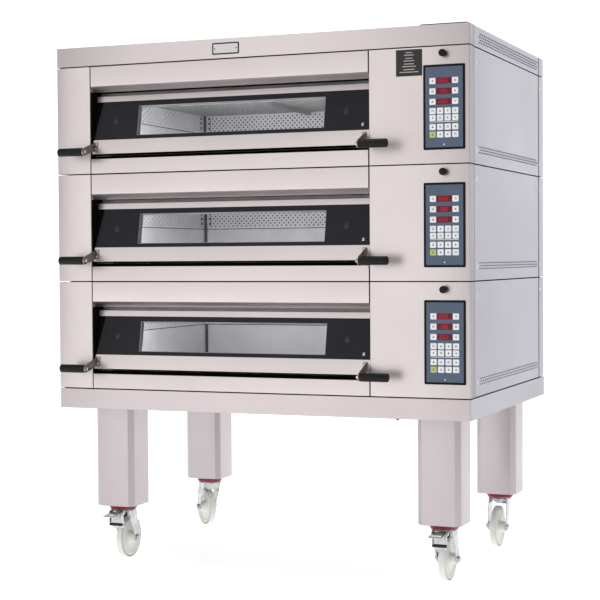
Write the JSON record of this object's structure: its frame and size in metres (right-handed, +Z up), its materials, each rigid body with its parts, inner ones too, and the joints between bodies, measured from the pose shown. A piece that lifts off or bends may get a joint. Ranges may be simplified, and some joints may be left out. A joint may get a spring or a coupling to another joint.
{
  "type": "deck oven",
  "caption": "Free-standing electric deck oven for bread and pastry: stacked baking chambers with lift-up glass doors, side control panels and a castered stand.",
  "frame": {"origin": "floor level, middle of the plan including the handles", "axes": "+Z up, +X to the right seen from the front, -Y towards the person using it"},
  "size_m": [1.588, 1.166, 1.941],
  "materials": {
    "stainless": "fine brushed stainless sheet",
    "side_steel": "brushed stainless side panels",
    "chamber_steel": "heat-toned steel",
    "black_enamel": "satin black enamel",
    "black_plastic": "moulded black plastic",
    "window_glass": "clear oven glass",
    "membrane": "printed membrane in a black bezel",
    "hearth_slab": "fired refractory slab",
    "element_steel": "oxidised element sheath",
    "zinc": "bright zinc plating",
    "nylon": "cream nylon",
    "seal_red": "red dust seal",
    "key_white": "raised membrane keys",
    "display_red": "dark red display window",
    "door_gasket": "braided heat seal"
  },
  "bodies": {
    "oven_body": {"base_frame": "stainless", "top_cap": "stainless", "roof_cover": "black_enamel", "lower_outer_casing": "side_steel", "lower_front_frame": "stainless", "lower_header_panel": "stainless", "lower_control_panel": "membrane", "lower_baking_chamber": "chamber_steel", "lower_hearth_stone": "hearth_slab", "lower_element_guard": "chamber_steel", "lower_heating_elements": "element_steel", "middle_outer_casing": "side_steel", "middle_front_frame": "stainless", "middle_header_panel": "stainless", "middle_control_panel": "membrane", "middle_baking_chamber": "chamber_steel", "middle_hearth_stone": "hearth_slab", "middle_element_guard": "chamber_steel", "middle_heating_elements": "element_steel", "upper_outer_casing": "side_steel", "upper_front_frame": "stainless", "upper_header_panel": "stainless", "upper_control_panel": "membrane", "upper_baking_chamber": "chamber_steel", "upper_hearth_stone": "hearth_slab", "upper_element_guard": "chamber_steel", "upper_heating_elements": "element_steel", "front_left_leg": "stainless", "front_right_leg": "stainless", "rear_left_leg": "stainless", "rear_right_leg": "stainless"},
    "lower_door": {"lower_door_panel": "black_enamel", "lower_door_glass": "window_glass", "lower_left_handle": "black_plastic", "lower_right_handle": "black_plastic"},
    "lower_knob": {"lower_damper_knob": "black_plastic"},
    "middle_door": {"middle_door_panel": "black_enamel", "middle_door_glass": "window_glass", "middle_left_handle": "black_plastic", "middle_right_handle": "black_plastic"},
    "middle_knob": {"middle_damper_knob": "black_plastic"},
    "upper_door": {"upper_door_panel": "black_enamel", "upper_door_glass": "window_glass", "upper_left_handle": "black_plastic", "upper_right_handle": "black_plastic"},
    "upper_knob": {"upper_damper_knob": "black_plastic"},
    "front_left_swivel": {"front_left_caster_fork": "zinc", "front_left_caster_axle": "zinc"},
    "front_left_wheel": {"front_left_caster_wheel": "nylon"},
    "front_left_pedal": {"front_left_brake_pedal": "zinc"},
    "front_right_swivel": {"front_right_caster_fork": "zinc", "front_right_caster_axle": "zinc"},
    "front_right_wheel": {"front_right_caster_wheel": "nylon"},
    "front_right_pedal": {"front_right_brake_pedal": "zinc"},
    "rear_left_swivel": {"rear_left_caster_fork": "zinc", "rear_left_caster_axle": "zinc"},
    "rear_left_wheel": {"rear_left_caster_wheel": "nylon"},
    "rear_right_swivel": {"rear_right_caster_fork": "zinc", "rear_right_caster_axle": "zinc"},
    "rear_right_wheel": {"rear_right_caster_wheel": "nylon"}
  },
  "joints": [
    {"name": "lower_door_hinge", "type": "hinge", "parent": "oven_body", "child": "lower_door", "pos_m": [0, -0.44057, 0.95515], "axis": [-1, 0, 0], "range_deg": [0, 85]},
    {"name": "lower_knob_slide", "type": "slide", "parent": "oven_body", "child": "lower_knob", "axis": [0, -1, 0], "range_m": [0, 0.045]},
    {"name": "middle_door_hinge", "type": "hinge", "parent": "oven_body", "child": "middle_door", "pos_m": [0, -0.44057, 1.35215], "axis": [-1, 0, 0], "range_deg": [0, 85]},
    {"name": "middle_knob_slide", "type": "slide", "parent": "oven_body", "child": "middle_knob", "axis": [0, -1, 0], "range_m": [0, 0.045]},
    {"name": "upper_door_hinge", "type": "hinge", "parent": "oven_body", "child": "upper_door", "pos_m": [0, -0.44057, 1.74915], "axis": [-1, 0, 0], "range_deg": [0, 85]},
    {"name": "upper_knob_slide", "type": "slide", "parent": "oven_body", "child": "upper_knob", "axis": [0, -1, 0], "range_m": [0, 0.045]},
    {"name": "front_left_swivel_turn", "type": "hinge", "parent": "oven_body", "child": "front_left_swivel", "pos_m": [-0.644, -0.292, 0.2], "axis": [0, 0, 1], "continuous": true},
    {"name": "front_left_wheel_spin", "type": "hinge", "parent": "front_left_swivel", "child": "front_left_wheel", "pos_m": [-0.644, -0.252, 0.082], "axis": [1, 0, 0], "continuous": true},
    {"name": "front_left_pedal_press", "type": "hinge", "parent": "front_left_swivel", "child": "front_left_pedal", "pos_m": [-0.644, -0.348, 0.186], "axis": [1, 0, 0], "range_deg": [0, 12]},
    {"name": "front_right_swivel_turn", "type": "hinge", "parent": "oven_body", "child": "front_right_swivel", "pos_m": [0.638, -0.292, 0.2], "axis": [0, 0, 1], "continuous": true},
    {"name": "front_right_wheel_spin", "type": "hinge", "parent": "front_right_swivel", "child": "front_right_wheel", "pos_m": [0.638, -0.252, 0.082], "axis": [1, 0, 0], "continuous": true},
    {"name": "front_right_pedal_press", "type": "hinge", "parent": "front_right_swivel", "child": "front_right_pedal", "pos_m": [0.638, -0.348, 0.186], "axis": [1, 0, 0], "range_deg": [0, 12]},
    {"name": "rear_left_swivel_turn", "type": "hinge", "parent": "oven_body", "child": "rear_left_swivel", "pos_m": [-0.644, 0.481, 0.2], "axis": [0, 0, 1], "continuous": true},
    {"name": "rear_left_wheel_spin", "type": "hinge", "parent": "rear_left_swivel", "child": "rear_left_wheel", "pos_m": [-0.67373, 0.50777, 0.082], "axis": [0.6691, 0.7431, 0], "continuous": true},
    {"name": "rear_right_swivel_turn", "type": "hinge", "parent": "oven_body", "child": "rear_right_swivel", "pos_m": [0.638, 0.481, 0.2], "axis": [0, 0, 1], "continuous": true},
    {"name": "rear_right_wheel_spin", "type": "hinge", "parent": "rear_right_swivel", "child": "rear_right_wheel", "pos_m": [0.638, 0.441, 0.082], "axis": [-1, 0, 0], "continuous": true}
  ]
}
